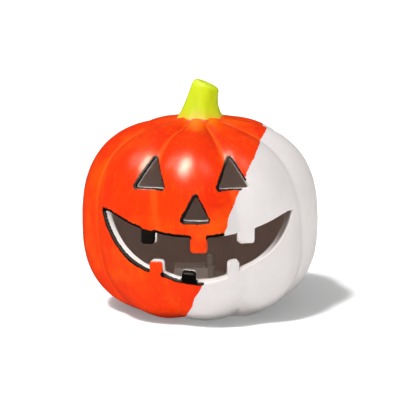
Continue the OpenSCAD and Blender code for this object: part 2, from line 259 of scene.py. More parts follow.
def toothed_lip(lip, teeth):
    """Points (x, y, corner radius) of one lip, from left to right, with its teeth."""
    edges = [MOUTH_SHIFT - MOUTH_HALF_W]
    for x, w, _, _ in teeth:
        edges += [x - w / 2, x + w / 2]
    edges.append(MOUTH_SHIFT + MOUTH_HALF_W)
    path = []
    for i in range(0, len(edges), 2):
        xs = np.linspace(edges[i], edges[i + 1], max(3, int((edges[i + 1] - edges[i]) / LIP_STEP)))
        ys = lip(xs)
        last = i + 2 >= len(edges)
        for j, (px, py) in enumerate(zip(xs, ys)):
            root = (j == 0 and i > 0) or (j == len(xs) - 1 and not last)
            path.append((px, py, TOOTH_ROOT_R if root else 0))
        if not last:
            tip = teeth[i // 2][2]
            path += [(edges[i + 1], tip, TOOTH_TIP_R), (edges[i + 2], tip, TOOTH_TIP_R)]
    return path


def rounded(path):
    """Closed outline with each corner of a radius above 0 turned into an arc."""
    out = []
    n = len(path)
    for i, (x, y, radius) in enumerate(path):
        p = np.array([x, y])
        if radius == 0:
            out.append(p)
            continue
        a = np.array(path[i - 1][:2]) - p
        b = np.array(path[(i + 1) % n][:2]) - p
        la, lb = np.linalg.norm(a), np.linalg.norm(b)
        a, b = a / la, b / lb
        half = math.acos(np.clip(a @ b, -1, 1)) / 2
        reach = min(radius / math.tan(half), la * 0.9, lb * 0.9)
        for f in np.linspace(0, 1, ARC_POINTS):
            start, end = p + a * reach, p + b * reach
            out.append(start * (1 - f) ** 2 + 2 * p * f * (1 - f) + end * f * f)
    return np.array(out)


def resampled(outline, step):
    """The closed outline with its points evenly spaced."""
    closed = np.vstack([outline, outline[:1]])
    run = np.concatenate([[0], np.cumsum(np.linalg.norm(np.diff(closed, axis=0), axis=1))])
    count = int(round(run[-1] / step))
    at = np.linspace(0, run[-1], count, endpoint=False)
    return np.stack([np.interp(at, run, closed[:, k]) for k in (0, 1)], -1)


def mouth_outline():
    low = toothed_lip(lower_lip, LOWER_TEETH)
    high = toothed_lip(upper_lip, UPPER_TEETH)
    return rounded(low[:-1] + high[::-1][:-1])


def triangle_outline(tip_x, tip_y, w, h, skew):
    """Triangle with its tip on top, whose foot is moved sideways by skew."""
    foot_x, foot_y = tip_x + skew, tip_y - h
    corners = [(tip_x, tip_y), (foot_x - w / 2, foot_y), (foot_x + w / 2, foot_y)]
    return rounded([(x, y, TRIANGLE_CORNER_R) for x, y in corners])


def face_holes():
    """Each hole of the face: name, outline on its plane, apex of its cone, distance from apex to plane,
    and the part of the rays in which the wall is looked for."""
    mouth_apex = np.array([0, 0, MOUTH_Z])
    face_apex = np.array([0, FACE_BACK, FACE_BACK_Z])
    far = FACE_BACK + FACE_PLANE
    top = EYE_Z - FACE_BACK_Z
    left = triangle_outline(EYE_SHIFT - EYE_X, top, EYE_W, EYE_H, -EYE_SKEW)
    right = triangle_outline(EYE_SHIFT + EYE_X, top, EYE_W, EYE_H, EYE_SKEW)
    nose = triangle_outline(NOSE_SHIFT, NOSE_Z - FACE_BACK_Z, NOSE_W, NOSE_H, 0)
    return [
        ("mouth", resampled(mouth_outline(), LOOP_STEP), mouth_apex, MOUTH_PLANE, MOUTH_RAYS),
        ("left_eye", resampled(left, LOOP_STEP), face_apex, far, FACE_RAYS),
        ("right_eye", resampled(right, LOOP_STEP), face_apex, far, FACE_RAYS),
        ("nose", resampled(nose, LOOP_STEP), face_apex, far, FACE_RAYS),
    ]


def offset_loop(loop, distance):
    """The closed loop moved away from its inside."""
    along = np.roll(loop, -1, 0) - np.roll(loop, 1, 0)
    along /= np.linalg.norm(along, axis=1)[:, None]
    area = np.sum(loop[:, 0] * np.roll(loop[:, 1], -1) - np.roll(loop[:, 0], -1) * loop[:, 1])
    normal = np.stack([along[:, 1], -along[:, 0]], -1) * np.sign(area)
    return loop + normal * distance


def inside(points, loop):
    """Which points lie inside the closed loop."""
    x, y = points[:, 0][:, None], points[:, 1][:, None]
    ax, ay = loop[:, 0][None], loop[:, 1][None]
    bx, by = np.roll(loop[:, 0], -1)[None], np.roll(loop[:, 1], -1)[None]
    rise = np.where(by == ay, 1e-9, by - ay)
    crosses = ((ay > y) != (by > y)) & (x < (bx - ax) * (y - ay) / rise + ax)
    return crosses.sum(1) % 2 == 1


def nearest(points, targets):
    """Distance from each point to the nearest target, and which it is, in batches that fit in memory."""
    best, which = np.full(len(points), 1e9), np.zeros(len(points), int)
    batch = 4000
    for i in range(0, len(points), batch):
        d = np.linalg.norm(points[i:i + batch, None] - targets[None], axis=2)
        best[i:i + batch], which[i:i + batch] = d.min(1), d.argmin(1)
    return best, which


class Builder:
    """Collects the shell's vertices with their depth below the outer skin, and its faces."""

    def __init__(self):
        self.points, self.depth, self.faces, self.count = [], [], [], 0

    def add(self, points, depth):
        start = self.count
        self.points.append(points)
        self.depth.append(np.broadcast_to(np.asarray(depth, float), (len(points),)))
        self.count += len(points)
        return np.arange(start, self.count)

    def bridge(self, a, b):
        """A closed band of faces between two rings."""
        for i in range(len(a)):
            j = (i + 1) % len(a)
            self.faces.append((a[i], a[j], b[j], b[i]))


def sheet(builder, skin, step, loops, depth):
    """Adds one lobed surface with its holes. Returns its lowest row and each hole's ring of vertices."""
    rows = int(round(skin.length / step))
    vs = np.linspace(0, skin.length, rows + 1)[:-1]
    us = (np.arange(COLUMNS) / COLUMNS * 2 - 1) * math.pi * skin.u_scale
    grid_u, grid_v = np.meshgrid(us, vs)
    ring_ids = [builder.add(skin.points(loop[:, 0], loop[:, 1]), depth) for loop in loops]
    ids = builder.add(skin.points(grid_u.ravel(), grid_v.ravel()), depth).reshape(rows, COLUMNS)
    crown = builder.add(skin.points(np.zeros(1), np.full(1, skin.length)), depth)[0]
    heights = skin.points(np.zeros(rows), vs)[:, 2]
    i0, i1 = np.searchsorted(heights, PATCH_LOW), np.searchsorted(heights, PATCH_HIGH)
    j0 = int(np.searchsorted(us, -PATCH_HALF * skin.u_scale))
    j1 = int(np.searchsorted(us, PATCH_HALF * skin.u_scale))
    for i in range(rows - 1):
        for j in range(COLUMNS):
            if not (i0 <= i < i1 and j0 <= j < j1):
                k = (j + 1) % COLUMNS
                builder.faces.append((ids[i, j], ids[i, k], ids[i + 1, k], ids[i + 1, j]))
    for j in range(COLUMNS):
        builder.faces.append((ids[-1, j], ids[-1, (j + 1) % COLUMNS], crown))
    # The face patch: a triangulation of the hole rings and the grid points outside the holes
    patch_ids = ids[i0:i1 + 1, j0:j1 + 1]
    flat = np.stack([grid_u[i0:i1 + 1, j0:j1 + 1].ravel(), grid_v[i0:i1 + 1, j0:j1 + 1].ravel()], -1)
    edge = np.zeros(patch_ids.shape, bool)
    edge[0], edge[-1], edge[:, 0], edge[:, -1] = True, True, True, True
    keep = np.ones(len(flat), bool)
    for loop in loops:
        keep &= ~inside(flat, loop) & (nearest(flat, loop)[0] > step * 0.5)
    keep |= edge.ravel()
    coords = np.vstack([flat[keep]] + loops)
    real = np.concatenate([patch_ids.ravel()[keep]] + ring_ids)
    edges, start = [], int(keep.sum())
    for loop in loops:
        n = len(loop)
        edges += [(start + i, start + (i + 1) % n) for i in range(n)]
        start += n
    result = delaunay_2d_cdt([Vector(c) for c in coords], edges, [], 0, 1e-6)
    source = np.array([o[0] for o in result[3]])
    faces = np.array([f for f in result[2] if len(f) == 3])
    spots = np.array([tuple(v) for v in result[0]])
    middle = spots[faces].mean(1)
    out = np.zeros(len(faces), bool)
    for loop in loops:
        out |= inside(middle, loop)
    builder.faces += [tuple(real[source[f]]) for f in faces[~out]]
    return ids[0], ring_ids


def add_hole_walls(builder, outer_loops, inner_loops, outer_rings, inner_rings):
    """The cut faces of the wall, rounded at both rims."""
    for k in range(len(outer_loops)):
        start = OUTER.points(*outer_loops[k].T)
        end = INNER.points(*inner_loops[k].T)
        span = np.linalg.norm(end - start, axis=1)[:, None]
        along = (end - start) / span
        rings = [outer_rings[k]]
        for angle in RIM_ANGLES:
            a = math.radians(angle)
            base = OUTER.points(*offset_loop(outer_loops[k], RIM_R * (1 - math.sin(a))).T)
            down = RIM_R * (1 - math.cos(a))
            rings.append(builder.add(base + along * down, down))
        for share in WALL_SHARES:
            down = RIM_R + (span - 2 * RIM_R) * share
            rings.append(builder.add(start + along * down, down[:, 0]))
        for angle in reversed(RIM_ANGLES):
            a = math.radians(angle)
            base = INNER.points(*offset_loop(inner_loops[k], RIM_R * (1 - math.sin(a))).T)
            up = RIM_R * (1 - math.cos(a))
            rings.append(builder.add(base - along * up, (span - up)[:, 0]))
        rings.append(inner_rings[k])
        for a, b in zip(rings, rings[1:]):
            builder.bridge(a, b)


def add_base(builder, outer_row, inner_row):
    """The flat foot, the flange's recess and the hole through the floor."""
    az = (np.arange(COLUMNS) / COLUMNS * 2 - 1) * math.pi
    steps = [
        (FOOT_R + 1.5, 0.12), (FOOT_R, 0.0), (FOOT_R - 4, 0.0), (RECESS_R + 0.5, 0.0),
        (RECESS_R, 0.5), (RECESS_R, RECESS_Z), (HOLE_R + 0.4, RECESS_Z), (HOLE_R, RECESS_Z + 0.4),
        (HOLE_R, FLOOR_T - 0.6), (HOLE_R + 0.6, FLOOR_T), (HOLE_R + 5, FLOOR_T), (FOOT_R + 2, FLOOR_T)]
    rows = [outer_row]
    for r, z in steps:
        ring = np.stack([r * np.sin(az), -r * np.cos(az), np.full(COLUMNS, z)], -1)
        rows.append(builder.add(ring, 0 if z == 0 else UNDERSIDE_DEPTH))
    rows.append(inner_row)
    for a, b in zip(rows, rows[1:]):
        builder.bridge(a, b)


# ---------------------------------------------------------------- paint fields on the vertices
def paint_edge(z):
    """Where the orange paint ends, from left to right, at each height."""
    bow = EDGE_BOW * np.maximum(0, z - EDGE_BOW_Z) ** 2
    wobble = 0.45 * np.sin(z / 4.1) + 0.3 * np.sin(z / 1.9 + 1)
    return EDGE_SLOPE * z + EDGE_AT_BASE + bow + wobble


def ink_width(loop):
    """Wandering width of a brushed outline: wider on the left of a hole and on top."""
    run = np.arange(len(loop)) * LOOP_STEP
    away = offset_loop(loop, 1) - loop
    waver = 0.13 * np.sin(run / 7.3) + 0.09 * np.sin(run / 3.1 + 2) + 0.06 * np.sin(run / 1.3 + 4)
    return INK_WIDTH - INK_SIDEWAYS * away[:, 0] + INK_ABOVE * away[:, 1] + waver


def ink_marks(holes, outer_loops):
    """Points of the outlines that are inked, as (u, v), with the brush width at each. The outlines of the
    orange teeth are left out."""
    spots, widths = [], []
    for (name, outline, _, _, _), loop in zip(holes, outer_loops):
        inked = np.ones(len(loop), bool)
        if name == "mouth":
            for teeth, lip in ((UPPER_TEETH, upper_lip), (LOWER_TEETH, lower_lip)):
                for x, w, tip, paint in teeth:
                    if paint != "orange":
                        continue
                    low, high = sorted((tip, float(lip(x))))
                    beside = np.abs(outline[:, 0] - x) < w / 2 + 0.5
                    inked &= ~(beside & (outline[:, 1] > low - 1) & (outline[:, 1] < high + 4))
        spots.append(loop[inked])
        widths.append(ink_width(loop)[inked])
    return np.vstack(spots), np.concatenate(widths)


def black_teeth(p):
    """Signed distance into the teeth that are painted black, for positions p."""
    x = p[:, 0] * MOUTH_PLANE / np.maximum(-p[:, 1], 1)
    y = (p[:, 2] - MOUTH_Z) * MOUTH_PLANE / np.maximum(-p[:, 1], 1)
    into = np.full(len(p), NO_TOOTH)
    for teeth, lip in ((UPPER_TEETH, upper_lip), (LOWER_TEETH, lower_lip)):
        for tx, w, tip, paint in teeth:
            if paint != "black":
                continue
            root = lip(x)
            low = np.minimum(root - TOOTH_ROOT_INK, tip - TOOTH_TIP_INK)
            high = np.maximum(root + TOOTH_ROOT_INK, tip + TOOTH_TIP_INK)
            sideways = w / 2 + TOOTH_SIDE_INK - np.abs(x - tx)
            into = np.maximum(into, np.minimum.reduce([sideways, y - low, high - y]))
    return np.where(p[:, 1] < BLACK_TEETH_Y, into, NO_TOOTH)


def ink_field(points, depth, holes, outer_loops):
    """Signed distance into the ink for every vertex."""
    field = np.full(len(points), NO_INK)
    in_height = (points[:, 2] > INK_ZONE_LOW) & (points[:, 2] < INK_ZONE_HIGH)
    front = np.flatnonzero((points[:, 1] < INK_ZONE_Y) & in_height)
    u, v, _ = OUTER.locate(points[front])
    spots, widths = ink_marks(holes, outer_loops)
    distance, which = nearest(np.stack([u, v], -1), spots)
    x, z = points[front, 0], points[front, 2]
    upper_face = (z > EYE_ZONE_Z) & (np.abs(x - EYE_ZONE_X) < EYE_ZONE_HALF_W)
    brushed_depth = np.where(upper_face, EYE_REACH, INK_REACH) - depth[front]
    brushed = np.minimum(widths[which] - distance, brushed_depth)
    low_tooth = np.abs(z - LOW_TOOTH_Z) < LOW_TOOTH_HALF_H
    filled_depth = np.where(low_tooth, TOOTH_REACH, INK_REACH) - depth[front]
    filled = np.minimum(black_teeth(points[front]), filled_depth)
    field[front] = np.maximum(brushed, filled)
    past_edge = paint_edge(points[:, 2]) + INK_PAST_EDGE - points[:, 0]
    return np.minimum(field, past_edge)


def make_mesh(name, points, faces, values):
    """A smooth mesh object from points in millimetres, with the values as float attributes."""
    mesh = bpy.data.meshes.new(name)
    mesh.from_pydata([tuple(p) for p in points * MM], [], [tuple(int(i) for i in f) for f in faces])
    mesh.update()
    for key, data in values.items():
        attribute = mesh.attributes.new(key, "FLOAT", "POINT")
        attribute.data.foreach_set("value", np.asarray(data, np.float32))
    bm = bmesh.new()
    bm.from_mesh(mesh)
    bmesh.ops.recalc_face_normals(bm, faces=bm.faces)
    bm.to_mesh(mesh)
    bm.free()
    mesh.polygons.foreach_set("use_smooth", [True] * len(mesh.polygons))
    obj = bpy.data.objects.new(name, mesh)
    bpy.context.collection.objects.link(obj)
    return obj


def build_shell():
    """The whole ceramic body, as one closed mesh."""
    holes = face_holes()
    outer_loops, inner_loops = [], []
    for _, outline, apex, plane, (near, far) in holes:
        plane_y = np.full(len(outline), apex[1] - plane)
        ends = np.stack([outline[:, 0], plane_y, outline[:, 1] + apex[2]], -1)
        outer_loops.append(OUTER.along_rays(apex, ends, near, far))
        inner_loops.append(INNER.along_rays(apex, ends, near, far))
    outer_rims = [offset_loop(loop, RIM_R) for loop in outer_loops]
    inner_rims = [offset_loop(loop, RIM_R) for loop in inner_loops]
    builder = Builder()
    outer_row, outer_rings = sheet(builder, OUTER, OUTER_STEP, outer_rims, 0)
    inner_row, inner_rings = sheet(builder, INNER, INNER_STEP, inner_rims, WALL)
    add_hole_walls(builder, outer_loops, inner_loops, outer_rings, inner_rings)
    add_base(builder, outer_row, inner_row)
    points = np.vstack(builder.points)
    depth = np.concatenate(builder.depth)
    values = {
        "depth": depth,
        "paint": paint_edge(points[:, 2]) - points[:, 0],
        "groove_sheen": groove(np.arctan2(points[:, 0], -points[:, 1]), points[:, 2]),
        "ink": ink_field(points, depth, holes, outer_loops),
    }
    return make_mesh("pumpkin_ceramic", points, builder.faces, values)


# ---------------------------------------------------------------- stem
STEM_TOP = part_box("stem")[1][2] / MM
STEM_RIM_Z = STEM_TOP - 3.0
STEM_FOOT_Z = 107.0
STEM_FLARE_Z = 113.1
# Radius: an even taper, and a flare at the foot that follows the lobes
STEM_TIP_R = 7.5
STEM_TAPER = 3.8
STEM_FLARE = 3.3
FLUTE_FOOT, FLUTE_ALL, FLUTE_MEAN = 0.06, 0.012, 0.35
STEM_BEND, STEM_BEND_POWER = 3.9, 1.8
STEM_CUT = 0.42
# The rim rounds inwards over the last part of the stem, and stops short of lying flat
STEM_ROUNDING = 1.9
STEM_ROUND_FROM = 0.88
STEM_ROUND_SHARE = 0.97
# Rings of the cut top inside the rim: share of its radius, and how far below it
STEM_DISH = [(0.86, -0.25), (0.6, -0.05), (0.3, 0.15)]
STEM_DISH_MIDDLE = 0.2
# The height whose lobes the flutes and the green line follow
STEM_LOBE_Z = 110.0
GREEN_LINE_Z, GREEN_SCALLOP = 114.0, 0.9
STEM_AROUND, STEM_ROWS = 160, 70


def build_stem():
    """The curved stalk, with a cut top that slopes to the right."""
    around = STEM_AROUND
    az = np.arange(around) / around * 2 * math.pi
    crest = 1 - groove(az, STEM_LOBE_Z)
    rings = []
    for f in np.linspace(0, 1, STEM_ROWS):
        radius = STEM_TIP_R + STEM_TAPER * (1 - f) + STEM_FLARE * (1 - f) ** 4
        flute = 1 - (FLUTE_FOOT * (1 - f) ** 4 + FLUTE_ALL) * (crest - FLUTE_MEAN)
        top = max(0.0, (f - STEM_ROUND_FROM) / (1 - STEM_ROUND_FROM))
        rounding = STEM_ROUNDING * (1 - math.sqrt(1 - STEM_ROUND_SHARE * top ** 2))
        r = (radius - rounding) * flute
        x = STEM_BEND * f ** STEM_BEND_POWER + r * np.sin(az)
        z = STEM_FLARE_Z + (STEM_RIM_Z - STEM_FLARE_Z) * f - STEM_CUT * f ** 3 * r * np.sin(az)
        rings.append(np.stack([x, -r * np.cos(az), z], -1))
    foot = rings[0].copy()
    foot[:, 2] = STEM_FOOT_Z
    rings.insert(0, foot)
    # The cut top: a shallow dished face inside the rounded rim
    edge = rings[-1]
    middle = edge.mean(0)
    for share, sink in STEM_DISH:
        ring = middle + (edge - middle) * share
        ring[:, 2] -= sink
        rings.append(ring)
    dish_middle = middle - [0, 0, STEM_DISH_MIDDLE]
    points = np.vstack(rings + [[[0, 0, STEM_FOOT_Z]], [dish_middle]])
    # The green starts at a scalloped line above the foot
    azimuth = np.arctan2(points[:, 0], -points[:, 1])
    arch = (1 - groove(azimuth, STEM_LOBE_Z)) ** 1.5 * np.abs(np.cos(azimuth))
    green = points[:, 2] - GREEN_LINE_Z - GREEN_SCALLOP * arch
    faces = []
    for i in range(len(rings) - 1):
        for j in range(around):
            k = (j + 1) % around
            a, b = i * around, (i + 1) * around
            faces.append((a + j, a + k, b + k, b + j))
    last = (len(rings) - 1) * around
    for j in range(around):
        k = (j + 1) % around
        faces.append((j, k, len(points) - 2))
        faces.append((last + j, last + k, len(points) - 1))
    return make_mesh("stem_ceramic", points, faces, {"green": green})


# ---------------------------------------------------------------- materials
class Nodes:
    """A material's node tree, with short calls for the nodes used here."""

    def __init__(self, name):
        self.material = bpy.data.materials.new(name)
        self.material.use_nodes = True
        self.tree = self.material.node_tree
        self.tree.nodes.clear()
        self.out = self.tree.nodes.new("ShaderNodeOutputMaterial")
        self.shader = self.tree.nodes.new("ShaderNodeBsdfPrincipled")
        self.link(self.shader.outputs["BSDF"], self.out.inputs["Surface"])
        self.coords = self.tree.nodes.new("ShaderNodeTexCoord").outputs["Object"]

    def link(self, a, b):
        self.tree.links.new(a, b)

    def put(self, socket, value):
        if isinstance(value, bpy.types.NodeSocket):
            self.link(value, socket)
        else:
            socket.default_value = value

    def attribute(self, name):
        node = self.tree.nodes.new("ShaderNodeAttribute")
        node.attribute_name = name
        return node.outputs["Fac"]

    def math(self, operation, a, b=0.0):
        node = self.tree.nodes.new("ShaderNodeMath")
        node.operation = operation
        self.put(node.inputs[0], a)
        self.put(node.inputs[1], b)
        return node.outputs[0]

    def plus(self, a, b):
        return self.math("ADD", a, b)

    def times(self, a, b):
        return self.math("MULTIPLY", a, b)

    def rest_of(self, share):
        """What a mask leaves: 1 less the share."""
        return self.math("SUBTRACT", 1, share)

    def either(self, a, b):
        """Both masks together."""
        return self.math("MAXIMUM", a, b)

    def noise(self, scale, detail=3.0, rough=0.5, stretch=None, distortion=0.0):
        node = self.tree.nodes.new("ShaderNodeTexNoise")
        node.inputs["Scale"].default_value = scale
        node.inputs["Detail"].default_value = detail
        node.inputs["Roughness"].default_value = rough
        node.inputs["Distortion"].default_value = distortion
        source = self.coords
        if stretch:
            mapping = self.tree.nodes.new("ShaderNodeMapping")
            mapping.inputs["Scale"].default_value = stretch
            self.link(source, mapping.inputs["Vector"])
            source = mapping.outputs["Vector"]
        self.link(source, node.inputs["Vector"])
        return node.outputs["Fac"]

    def map_range(self, value, low, high, to_low=0.0, to_high=1.0):
        node = self.tree.nodes.new("ShaderNodeMapRange")
        self.put(node.inputs["Value"], value)
        node.inputs["From Min"].default_value = low
        node.inputs["From Max"].default_value = high
        node.inputs["To Min"].default_value = to_low
        node.inputs["To Max"].default_value = to_high
        return node.outputs["Result"]

    def mix(self, share, a, b):
        node = self.tree.nodes.new("ShaderNodeMix")
        node.data_type = "RGBA"
        self.put(node.inputs["Factor"], share)
        self.put(node.inputs["A"], a)
        self.put(node.inputs["B"], b)
        return node.outputs["Result"]

    def bump(self, height, distance, strength=1.0, normal=None):
        node = self.tree.nodes.new("ShaderNodeBump")
        node.inputs["Distance"].default_value = distance
        node.inputs["Strength"].default_value = strength
        self.link(height, node.inputs["Height"])
        if normal:
            self.link(normal, node.inputs["Normal"])
        return node.outputs["Normal"]

    def axis(self, name):
        node = self.tree.nodes.new("ShaderNodeSeparateXYZ")
        self.link(self.coords, node.inputs["Vector"])
        return node.outputs[name]


def rgb(r, g, b):
    """A display colour, 0 to 255, as linear RGBA."""
    def linear(c):
        c /= 255
        return c / 12.92 if c <= 0.04045 else ((c + 0.055) / 1.055) ** 2.4
    return (linear(r), linear(g), linear(b), 1)


BISQUE = rgb(203, 198, 197)
BISQUE_DIM = rgb(195, 189, 188)
ORANGE = rgb(224, 52, 0)
ORANGE_DEEP = rgb(212, 38, 0)
ORANGE_WARM = rgb(236, 96, 0)
INK = rgb(5, 3, 3)
GREEN = rgb(192, 208, 4)
GREEN_DEEP = rgb(166, 186, 0)
GREEN_FOOT = rgb(202, 186, 30)
GREEN_TOP = rgb(204, 214, 60)
# Paler orange for the painted sheen along the grooves
VALLEY_SHEEN = rgb(246, 114, 36)
CROWN_PAINT = rgb(240, 112, 0)
# Cut faces of the holes: a paler copy of the bisque as painted light, and a darker one for painted shade
# in the mouth's right corner
CUT_FACE_LIT = rgb(244, 238, 235)
CUT_FACE_SHADE = rgb(122, 114, 110)
INTERIOR = rgb(226, 207, 197)
INTERIOR_DIM = rgb(216, 196, 185)
CERAMIC_SPECULAR = 0.12


def ceramic_material():
    """Bare bisque, with satin orange paint on one side and black outlines, placed by the paint fields."""
    n = Nodes("painted_bisque")
    # Soft upright brush marks, with finer bristle lines
    wide = n.noise(55, 4, 0.55, stretch=(1.0, 1.0, 0.28), distortion=0.4)
    fine = n.noise(420, 3, 0.6, stretch=(1.0, 1.0, 0.09))
    mottle = n.noise(26, 5, 0.6)
    grain = n.noise(2600, 2, 0.5)
    # Masks: ragged by noise, and only as deep as the brush reached over the rim
    ragged = n.map_range(n.noise(700, 3, 0.6), 0.3, 0.7, -0.35, 0.35)
    depth = n.attribute("depth")
    reach = n.map_range(n.plus(depth, ragged), 0.75, 1.05, 1, 0)
    orange_mask = n.times(n.map_range(n.plus(n.attribute("paint"), ragged), -0.12, 0.12), reach)
    ink_mask = n.map_range(n.plus(n.attribute("ink"), ragged), -0.1, 0.14)
    bare = n.mix(n.map_range(mottle, 0.35, 0.7), BISQUE, BISQUE_DIM)
    paint = n.mix(n.map_range(wide, 0.35, 0.72), ORANGE, ORANGE_DEEP)
    paint = n.mix(n.map_range(mottle, 0.5, 0.72, 0, 0.6), paint, ORANGE_WARM)
    paint = n.mix(n.map_range(fine, 0.56, 0.74, 0, 0.35), paint, ORANGE_WARM)
    # Painted sheen along the grooves: a paler orange that stands in for highlights, above all on the
    # shoulders
    groove_sheen = n.map_range(n.plus(n.attribute("groove_sheen"), n.times(ragged, 0.06)), 0.7, 0.92)
    sheen_height = n.map_range(n.axis("Z"), 0.04, 0.1, 0.08, 0.5)
    paint = n.mix(n.times(groove_sheen, sheen_height), paint, VALLEY_SHEEN)
    # Thin yellow-orange paint under the stem, most of it on the front and back lobes
    near_stem = n.map_range(n.plus(n.axis("Z"), n.times(mottle, 0.004)), 0.1120, 0.1155, 0, 0.8)
    middle_lobe = n.map_range(n.math("ABSOLUTE", n.axis("X")), 0.006, 0.011, 1, 0.25)
    paint = n.mix(n.times(near_stem, middle_lobe), paint, CROWN_PAINT)
    colour = n.mix(orange_mask, bare, paint)
    colour = n.mix(ink_mask, colour, INK)
    # The cut faces of the holes are painted paler than the bare skin, as painted light, and darker in the
    # mouth's right corner, as painted shade
    unpainted = n.rest_of(n.either(orange_mask, ink_mask))
    lit_cut_faces = n.times(n.map_range(depth, 0.3, 1.0), unpainted)
    # Painted shade deep in the cut faces of the mouth's right corner
    corner_shade = n.times(n.map_range(n.axis("X"), 0.034, 0.046), n.map_range(depth, 1.0, 2.6))
    colour = n.mix(lit_cut_faces, colour, n.mix(corner_shade, CUT_FACE_LIT, CUT_FACE_SHADE))
    # Unglazed inside
    within = n.map_range(depth, WALL - 1.2, WALL - 0.6)
    colour = n.mix(within, colour, n.mix(mottle, INTERIOR, INTERIOR_DIM))
    n.link(colour, n.shader.inputs["Base Color"])
    # Only the orange is satin: the ink and the bisque are matte
    satin = n.times(orange_mask, n.rest_of(ink_mask))
    gloss = n.map_range(wide, 0.3, 0.7, 0.2, 0.27)
    matte = n.map_range(mottle, 0.3, 0.7, 0.5, 0.58)
    rough = n.plus(n.times(satin, gloss), n.times(n.rest_of(satin), matte))
    n.link(rough, n.shader.inputs["Roughness"])
    n.shader.inputs["Specular IOR Level"].default_value = CERAMIC_SPECULAR
    # Relief: uneven casting, bristle lines, the edges of the paint layers, speckle and clay grain
    low = n.bump(mottle, 0.0006, 0.35)
    strokes = n.bump(n.times(fine, satin), 0.00012, 0.5, low)
    layer = n.bump(n.either(orange_mask, n.times(ink_mask, 1.6)), 0.00012, 0.8, strokes)
    speckle = n.bump(n.times(n.noise(1500, 2, 0.6), satin), 0.0001, 0.8, layer)
    n.link(n.bump(grain, 0.00003, 0.5, speckle), n.shader.inputs["Normal"])
    return n.material


def stem_material():
    """Lime green paint, yellower and thinner at the foot and the cut top."""
    n = Nodes("stem_paint")
    wide = n.noise(70, 4, 0.55, stretch=(1.0, 1.0, 0.3), distortion=0.5)
    fine = n.noise(600, 3, 0.6, stretch=(1.0, 1.0, 0.12))
    colour = n.mix(n.map_range(wide, 0.35, 0.75), GREEN, GREEN_DEEP)
    height = n.plus(n.axis("Z"), n.map_range(wide, 0.3, 0.7, -0.0022, 0.0022))
    colour = n.mix(n.map_range(height, 0.1198, 0.1150), colour, GREEN_FOOT)
    colour = n.mix(n.map_range(height, 0.1312, 0.1345, 0, 0.45), colour, GREEN_TOP)
    # Below the scalloped line the foot is orange
    ragged = n.map_range(n.noise(650, 3, 0.6), 0.3, 0.7, -0.3, 0.3)
    green_mask = n.map_range(n.plus(n.attribute("green"), ragged), -0.1, 0.12)
    colour = n.mix(green_mask, n.mix(wide, ORANGE, ORANGE_WARM), colour)
    n.link(colour, n.shader.inputs["Base Color"])
    n.link(n.map_range(wide, 0.3, 0.7, 0.5, 0.6), n.shader.inputs["Roughness"])
    n.shader.inputs["Specular IOR Level"].default_value = CERAMIC_SPECULAR
    n.link(n.bump(fine, 0.0002, 0.5, n.bump(wide, 0.0008, 0.4)), n.shader.inputs["Normal"])
    return n.material


def plain_material(name, colour, second, rough, scale, bump, metallic):
    """Moulded plastic, rubber or metal: slow colour drift, fine grain and uneven roughness."""
    n = Nodes(name)
    drift = n.noise(scale, 4, 0.55)
    grain = n.noise(scale * 14, 3, 0.6)
    n.link(n.mix(n.map_range(drift, 0.35, 0.7), colour, second), n.shader.inputs["Base Color"])
    n.link(n.map_range(grain, 0.25, 0.75, rough - 0.06, rough + 0.06), n.shader.inputs["Roughness"])
    n.link(n.bump(grain, bump, 0.6), n.shader.inputs["Normal"])
    n.shader.inputs["Metallic"].default_value = metallic
    return n.material


def lamp_material():
    """Cloudy epoxy of a warm white lamp."""
    n = Nodes("lamp_epoxy")
    haze = n.noise(300, 3, 0.5)
    n.link(n.mix(haze, rgb(236, 224, 212), rgb(222, 210, 198)), n.shader.inputs["Base Color"])
    n.link(n.map_range(haze, 0.3, 0.7, 0.1, 0.2), n.shader.inputs["Roughness"])
    n.shader.inputs["Transmission Weight"].default_value = 0.45
    n.shader.inputs["IOR"].default_value = 1.5
    return n.material


def paint_node(name, material, bevel):
    """Gives a CAD node its material, and softens its sharp edges."""
    obj = NODES[name]
    obj.data.materials.clear()
    obj.data.materials.append(material)
    if bevel:
        edge = obj.modifiers.new("soft_edges", "BEVEL")
        edge.width = bevel * MM
        edge.segments = 2
        edge.limit_method = "ANGLE"
        edge.angle_limit = math.radians(40)
        edge.harden_normals = True


# Name, its two colours, roughness, scale of the drift, depth of the grain in metres, metallic
PLAIN_MATERIALS = [
    ("light_plastic", (244, 231, 221), (236, 223, 213), 0.42, 180, 0.00004, 0),
    ("holder_plastic", (206, 194, 184), (196, 184, 174), 0.3, 220, 0.00003, 0),
    ("gasket_rubber", (38, 37, 38), (48, 47, 47), 0.75, 260, 0.00006, 0),
    ("switch_plastic", (34, 34, 36), (44, 44, 46), 0.45, 300, 0.00004, 0),
    ("board_green", (24, 92, 44), (18, 76, 36), 0.35, 240, 0.00003, 0),
    ("tinned_wire", (196, 196, 194), (176, 176, 174), 0.3, 500, 0.00002, 1),
    ("cell_steel", (200, 200, 198), (184, 184, 182), 0.28, 400, 0.00002, 1),
    ("contact_metal", (190, 190, 186), (170, 170, 166), 0.34, 400, 0.00003, 1),
    ("screw_steel", (168, 168, 168), (150, 150, 150), 0.36, 500, 0.00003, 1),
]
# CAD node, material, and width in millimetres of the bevel on its sharp edges
LIGHT_PIECES = [
    ("light_base", "light_plastic", 0.2),
    ("light_cover", "light_plastic", 0.35),
    ("battery_door", "light_plastic", 0.2),
    ("led_holder", "holder_plastic", 0.2),
    ("gasket_ring", "gasket_rubber", 0),
    ("switch_body", "switch_plastic", 0.1),
    ("switch_knob", "switch_plastic", 0.15),
    ("circuit_board", "board_green", 0.05),
    ("led_leads", "tinned_wire", 0),
    ("led_lamp", "lamp_epoxy", 0),
    ("button_cell_1", "cell_steel", 0.2),
    ("button_cell_2", "cell_steel", 0.2),
    ("button_cell_3", "cell_steel", 0.2),
    ("contact_plate", "contact_metal", 0),
    ("contact_spring", "contact_metal", 0),
    ("door_screw", "screw_steel", 0.1),
    ("cover_screws", "screw_steel", 0.1),
]


